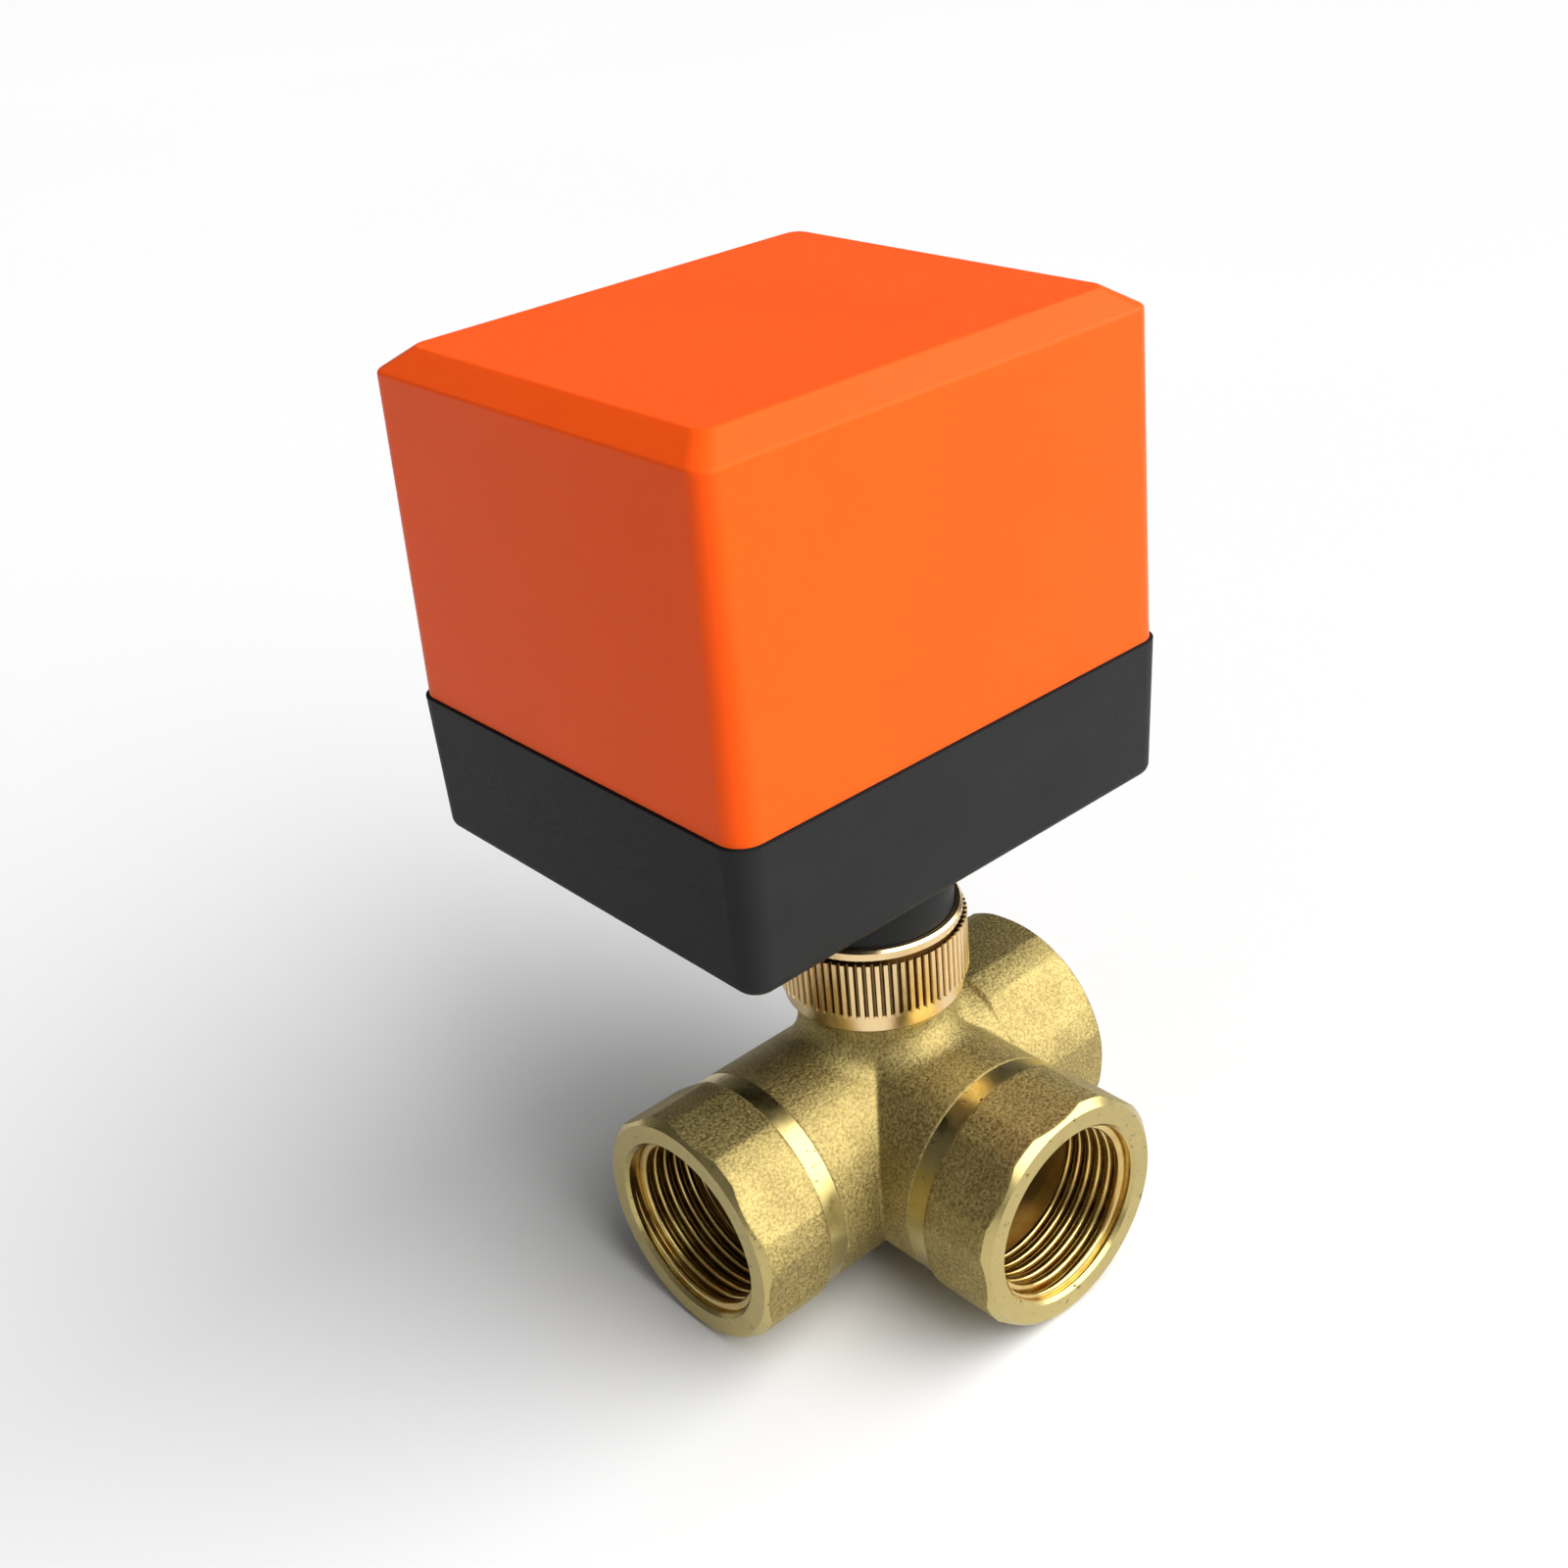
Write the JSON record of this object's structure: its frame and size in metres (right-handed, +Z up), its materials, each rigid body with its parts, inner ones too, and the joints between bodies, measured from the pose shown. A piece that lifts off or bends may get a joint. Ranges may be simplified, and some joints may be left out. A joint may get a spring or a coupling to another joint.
{
  "type": "motorized three-way ball valve",
  "caption": "Brass three-way ball valve with female pipe threads and a boxy orange and black motor actuator held on its neck by a knurled union nut.",
  "frame": {"origin": "centre of port A's mouth", "axes": "+X along the run from port A to port C, port B opens to -Y, +Z up the stem"},
  "size_m": [0.0843, 0.0939, 0.1325],
  "materials": {
    "cast_brass": "shot-blasted forging with turned faces",
    "turned_brass": "turned, bright",
    "seat_plastic": "waxy white",
    "plated_ball": "mirror plated",
    "black_rubber": "matt",
    "spring_steel": "bright",
    "steel": "bright zinc",
    "zinc_plate": "zinc plated sheet",
    "black_plastic": "satin moulded",
    "orange_plastic": "satin gloss moulded",
    "gear_plastic": "natural white",
    "cam_plastic": "moulded",
    "switch_plastic": "moulded",
    "button_plastic": "moulded",
    "copper_winding": "enamelled wire",
    "magnet": "ferrite",
    "board": "solder mask",
    "terminal_plastic": "moulded",
    "capacitor_case": "moulded",
    "relay_case": "moulded"
  },
  "bodies": {
    "valve": {"valve_body": "cast_brass", "port_a_adaptor": "cast_brass", "port_b_adaptor": "cast_brass", "seat_a": "seat_plastic", "seat_b": "seat_plastic", "seat_c": "seat_plastic", "stem_thrust_washer": "seat_plastic"},
    "ball_and_stem": {"ball": "plated_ball", "stem": "turned_brass", "stem_o_ring_lower": "black_rubber", "stem_o_ring_upper": "black_rubber"},
    "union_nut": {"union_nut": "turned_brass"},
    "actuator": {"base_housing": "black_plastic", "cover": "orange_plastic", "cover_gasket": "black_rubber", "cover_screws": "steel", "cable_grommet": "black_rubber", "neck_bush": "gear_plastic", "nut_snap_ring": "spring_steel", "gear_axles": "steel", "gear_plate": "zinc_plate", "plate_screws": "steel", "motor_end_plate": "zinc_plate", "motor_can": "zinc_plate", "motor_coil": "copper_winding", "motor_screws": "steel", "switch_bracket": "zinc_plate", "microswitch_lower": "switch_plastic", "switch_spacer": "switch_plastic", "microswitch_upper": "switch_plastic", "switch_screws": "steel", "board_pillars": "turned_brass", "circuit_board": "board", "board_screws": "steel", "terminal_block": "terminal_plastic", "capacitor": "capacitor_case", "relay": "relay_case"},
    "output": {"output_shaft": "steel", "output_gear": "gear_plastic", "cam_lower": "cam_plastic", "cam_upper": "cam_plastic"},
    "slow_gear": {"compound_gear_slow": "gear_plastic"},
    "fast_gear": {"compound_gear_fast": "gear_plastic"},
    "rotor": {"motor_rotor": "magnet", "motor_shaft": "steel", "motor_pinion": "gear_plastic"},
    "lever_lower": {"switch_lever_lower": "spring_steel"},
    "lever_upper": {"switch_lever_upper": "spring_steel"},
    "button_lower": {"switch_button_lower": "button_plastic"},
    "button_upper": {"switch_button_upper": "button_plastic"}
  },
  "joints": [
    {"name": "output_turn", "type": "hinge", "parent": "actuator", "child": "output", "pos_m": [0.0385, 0, 0.0505], "axis": [0, 0, 1], "range_deg": [0, 90]},
    {"name": "ball_turn", "type": "hinge", "parent": "valve", "child": "ball_and_stem", "pos_m": [0.0385, 0, 0], "axis": [0, 0, 1], "range_deg": [0, 90]},
    {"name": "slow_gear_turn", "type": "hinge", "parent": "actuator", "child": "slow_gear", "pos_m": [0.03337, 0.0141, 0.054], "axis": [0, 0, 1], "range_deg": [-211, 0]},
    {"name": "fast_gear_turn", "type": "hinge", "parent": "actuator", "child": "fast_gear", "pos_m": [0.03984, 0.02679, 0.059], "axis": [0, 0, 1], "range_deg": [0, 456]},
    {"name": "rotor_turn", "type": "hinge", "parent": "actuator", "child": "rotor", "pos_m": [0.05553, 0.02816, 0.07], "axis": [0, 0, 1], "range_deg": [-1139, 0]},
    {"name": "lever_lower_swing", "type": "hinge", "parent": "actuator", "child": "lever_lower", "pos_m": [0.0277, 0.013, 0.0707], "axis": [0, 0, 1], "range_deg": [0, 6]},
    {"name": "lever_upper_swing", "type": "hinge", "parent": "actuator", "child": "lever_upper", "pos_m": [0.0277, 0.013, 0.0782], "axis": [0, 0, 1], "range_deg": [-6, 0]},
    {"name": "button_lower_travel", "type": "slide", "parent": "actuator", "child": "button_lower", "axis": [1, 0, 0], "range_m": [0, 0.00034]},
    {"name": "button_upper_travel", "type": "slide", "parent": "actuator", "child": "button_upper", "axis": [1, 0, 0], "range_m": [-0.00034, 0]},
    {"name": "nut_turn", "type": "hinge", "parent": "actuator", "child": "union_nut", "pos_m": [0.0385, 0, 0.028], "axis": [0, 0, 1], "range_deg": [0, 1980]},
    {"name": "actuator_lift", "type": "slide", "parent": "valve", "child": "actuator", "axis": [0, 0, 1], "range_m": [0, 0.00825]}
  ],
  "couplings": [
    {"joint": "ball_turn", "follows": "output_turn", "ratio": 1},
    {"joint": "slow_gear_turn", "follows": "output_turn", "ratio": -2.3333},
    {"joint": "fast_gear_turn", "follows": "output_turn", "ratio": 5.0556},
    {"joint": "rotor_turn", "follows": "output_turn", "ratio": -12.639},
    {"joint": "lever_lower_swing", "follows": "output_turn", "ratio": 0.066667},
    {"joint": "lever_upper_swing", "follows": "output_turn", "ratio": -0.066667},
    {"joint": "button_lower_travel", "follows": "output_turn", "m_per_rad": 0.00021643},
    {"joint": "button_upper_travel", "follows": "output_turn", "m_per_rad": -0.00021643},
    {"joint": "actuator_lift", "follows": "nut_turn", "m_per_rad": 0.00023873}
  ]
}
